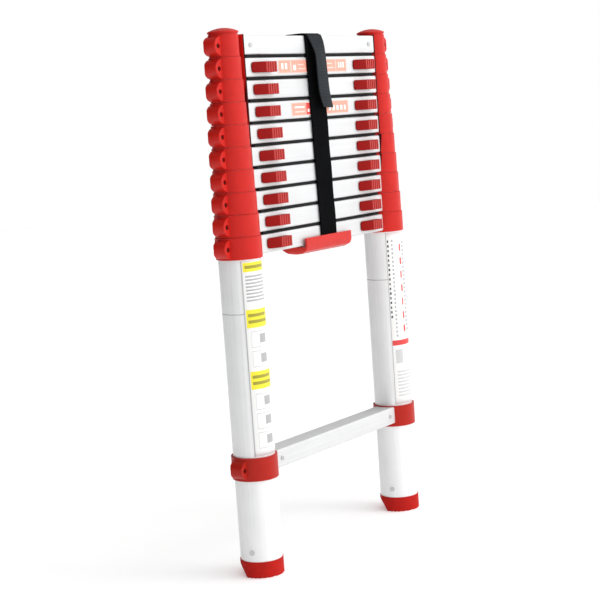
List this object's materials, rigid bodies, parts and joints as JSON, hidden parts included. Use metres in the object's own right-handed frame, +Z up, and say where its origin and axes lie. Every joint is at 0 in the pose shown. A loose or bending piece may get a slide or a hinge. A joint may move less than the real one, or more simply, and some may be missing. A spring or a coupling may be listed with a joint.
{
  "type": "telescoping ladder",
  "caption": "Closed telescoping ladder: nested aluminium stile tubes with stacked hollow rungs, red collars, thumb latches, carry strap, scoop handle and rubber feet.",
  "frame": {"origin": "on the floor midway between the two feet, below the middle of the stiles' depth", "axes": "+X from the left stile to the right stile as seen by the climber, +Y away from the climber, +Z up along the stiles"},
  "size_m": [0.4452, 0.0642, 0.7473],
  "materials": {
    "tube_aluminium": "satin anodised",
    "rung_aluminium": "satin anodised",
    "red_plastic": "satin moulded",
    "button_plastic": "satin moulded",
    "foot_rubber": "matte",
    "rivet_metal": "satin",
    "webbing": "woven",
    "label_film": "printed film"
  },
  "bodies": {
    "section_01": {"stile_tubes_01": "tube_aluminium", "collars_01": "red_plastic", "rung_01": "rung_aluminium", "end_caps": "red_plastic", "rivets_top": "rivet_metal", "strap": "webbing"},
    "section_02": {"stile_tubes_02": "tube_aluminium", "collars_02": "red_plastic", "rung_02": "rung_aluminium"},
    "section_03": {"stile_tubes_03": "tube_aluminium", "collars_03": "red_plastic", "rung_03": "rung_aluminium"},
    "section_04": {"stile_tubes_04": "tube_aluminium", "collars_04": "red_plastic", "rung_04": "rung_aluminium"},
    "section_05": {"stile_tubes_05": "tube_aluminium", "collars_05": "red_plastic", "rung_05": "rung_aluminium"},
    "section_06": {"stile_tubes_06": "tube_aluminium", "collars_06": "red_plastic", "rung_06": "rung_aluminium"},
    "section_07": {"stile_tubes_07": "tube_aluminium", "collars_07": "red_plastic", "rung_07": "rung_aluminium"},
    "section_08": {"stile_tubes_08": "tube_aluminium", "collars_08": "red_plastic", "rung_08": "rung_aluminium"},
    "section_09": {"stile_tubes_09": "tube_aluminium", "collars_09": "red_plastic", "rung_09": "rung_aluminium"},
    "section_10": {"stile_tubes_10": "tube_aluminium", "collars_10": "red_plastic", "rung_10": "rung_aluminium", "collars_11": "red_plastic", "rung_11": "rung_aluminium", "feet": "foot_rubber", "rivets_base": "rivet_metal", "carry_handle": "red_plastic", "label_left": "label_film", "label_right": "label_film"},
    "button_left_02": {"latch_left_02": "button_plastic"},
    "button_right_02": {"latch_right_02": "button_plastic"},
    "button_left_03": {"latch_left_03": "button_plastic"},
    "button_right_03": {"latch_right_03": "button_plastic"},
    "button_left_04": {"latch_left_04": "button_plastic"},
    "button_right_04": {"latch_right_04": "button_plastic"},
    "button_left_05": {"latch_left_05": "button_plastic"},
    "button_right_05": {"latch_right_05": "button_plastic"},
    "button_left_06": {"latch_left_06": "button_plastic"},
    "button_right_06": {"latch_right_06": "button_plastic"},
    "button_left_07": {"latch_left_07": "button_plastic"},
    "button_right_07": {"latch_right_07": "button_plastic"},
    "button_left_08": {"latch_left_08": "button_plastic"},
    "button_right_08": {"latch_right_08": "button_plastic"},
    "button_left_09": {"latch_left_09": "button_plastic"},
    "button_right_09": {"latch_right_09": "button_plastic"},
    "button_left_10": {"latch_left_10": "button_plastic"},
    "button_right_10": {"latch_right_10": "button_plastic"}
  },
  "joints": [
    {"name": "slide_section_01", "type": "slide", "parent": "section_02", "child": "section_01", "axis": [0, 0, 1], "range_m": [0, 0.2701]},
    {"name": "slide_section_02", "type": "slide", "parent": "section_03", "child": "section_02", "axis": [0, 0, 1], "range_m": [0, 0.2701]},
    {"name": "slide_section_03", "type": "slide", "parent": "section_04", "child": "section_03", "axis": [0, 0, 1], "range_m": [0, 0.2701]},
    {"name": "slide_section_04", "type": "slide", "parent": "section_05", "child": "section_04", "axis": [0, 0, 1], "range_m": [0, 0.2701]},
    {"name": "slide_section_05", "type": "slide", "parent": "section_06", "child": "section_05", "axis": [0, 0, 1], "range_m": [0, 0.2701]},
    {"name": "slide_section_06", "type": "slide", "parent": "section_07", "child": "section_06", "axis": [0, 0, 1], "range_m": [0, 0.2701]},
    {"name": "slide_section_07", "type": "slide", "parent": "section_08", "child": "section_07", "axis": [0, 0, 1], "range_m": [0, 0.2701]},
    {"name": "slide_section_08", "type": "slide", "parent": "section_09", "child": "section_08", "axis": [0, 0, 1], "range_m": [0, 0.2701]},
    {"name": "slide_section_09", "type": "slide", "parent": "section_10", "child": "section_09", "axis": [0, 0, 1], "range_m": [0, 0.2701]},
    {"name": "thumb_left_02", "type": "slide", "parent": "section_02", "child": "button_left_02", "axis": [1, 0, 0], "range_m": [0, 0.007], "stiffness_N_per_m": 500, "springref_m": -0.006},
    {"name": "thumb_right_02", "type": "slide", "parent": "section_02", "child": "button_right_02", "axis": [-1, 0, 0], "range_m": [0, 0.007], "stiffness_N_per_m": 500, "springref_m": -0.006},
    {"name": "thumb_left_03", "type": "slide", "parent": "section_03", "child": "button_left_03", "axis": [1, 0, 0], "range_m": [0, 0.007], "stiffness_N_per_m": 500, "springref_m": -0.006},
    {"name": "thumb_right_03", "type": "slide", "parent": "section_03", "child": "button_right_03", "axis": [-1, 0, 0], "range_m": [0, 0.007], "stiffness_N_per_m": 500, "springref_m": -0.006},
    {"name": "thumb_left_04", "type": "slide", "parent": "section_04", "child": "button_left_04", "axis": [1, 0, 0], "range_m": [0, 0.007], "stiffness_N_per_m": 500, "springref_m": -0.006},
    {"name": "thumb_right_04", "type": "slide", "parent": "section_04", "child": "button_right_04", "axis": [-1, 0, 0], "range_m": [0, 0.007], "stiffness_N_per_m": 500, "springref_m": -0.006},
    {"name": "thumb_left_05", "type": "slide", "parent": "section_05", "child": "button_left_05", "axis": [1, 0, 0], "range_m": [0, 0.007], "stiffness_N_per_m": 500, "springref_m": -0.006},
    {"name": "thumb_right_05", "type": "slide", "parent": "section_05", "child": "button_right_05", "axis": [-1, 0, 0], "range_m": [0, 0.007], "stiffness_N_per_m": 500, "springref_m": -0.006},
    {"name": "thumb_left_06", "type": "slide", "parent": "section_06", "child": "button_left_06", "axis": [1, 0, 0], "range_m": [0, 0.007], "stiffness_N_per_m": 500, "springref_m": -0.006},
    {"name": "thumb_right_06", "type": "slide", "parent": "section_06", "child": "button_right_06", "axis": [-1, 0, 0], "range_m": [0, 0.007], "stiffness_N_per_m": 500, "springref_m": -0.006},
    {"name": "thumb_left_07", "type": "slide", "parent": "section_07", "child": "button_left_07", "axis": [1, 0, 0], "range_m": [0, 0.007], "stiffness_N_per_m": 500, "springref_m": -0.006},
    {"name": "thumb_right_07", "type": "slide", "parent": "section_07", "child": "button_right_07", "axis": [-1, 0, 0], "range_m": [0, 0.007], "stiffness_N_per_m": 500, "springref_m": -0.006},
    {"name": "thumb_left_08", "type": "slide", "parent": "section_08", "child": "button_left_08", "axis": [1, 0, 0], "range_m": [0, 0.007], "stiffness_N_per_m": 500, "springref_m": -0.006},
    {"name": "thumb_right_08", "type": "slide", "parent": "section_08", "child": "button_right_08", "axis": [-1, 0, 0], "range_m": [0, 0.007], "stiffness_N_per_m": 500, "springref_m": -0.006},
    {"name": "thumb_left_09", "type": "slide", "parent": "section_09", "child": "button_left_09", "axis": [1, 0, 0], "range_m": [0, 0.007], "stiffness_N_per_m": 500, "springref_m": -0.006},
    {"name": "thumb_right_09", "type": "slide", "parent": "section_09", "child": "button_right_09", "axis": [-1, 0, 0], "range_m": [0, 0.007], "stiffness_N_per_m": 500, "springref_m": -0.006},
    {"name": "thumb_left_10", "type": "slide", "parent": "section_10", "child": "button_left_10", "axis": [1, 0, 0], "range_m": [0, 0.007], "stiffness_N_per_m": 500, "springref_m": -0.006},
    {"name": "thumb_right_10", "type": "slide", "parent": "section_10", "child": "button_right_10", "axis": [-1, 0, 0], "range_m": [0, 0.007], "stiffness_N_per_m": 500, "springref_m": -0.006}
  ]
}
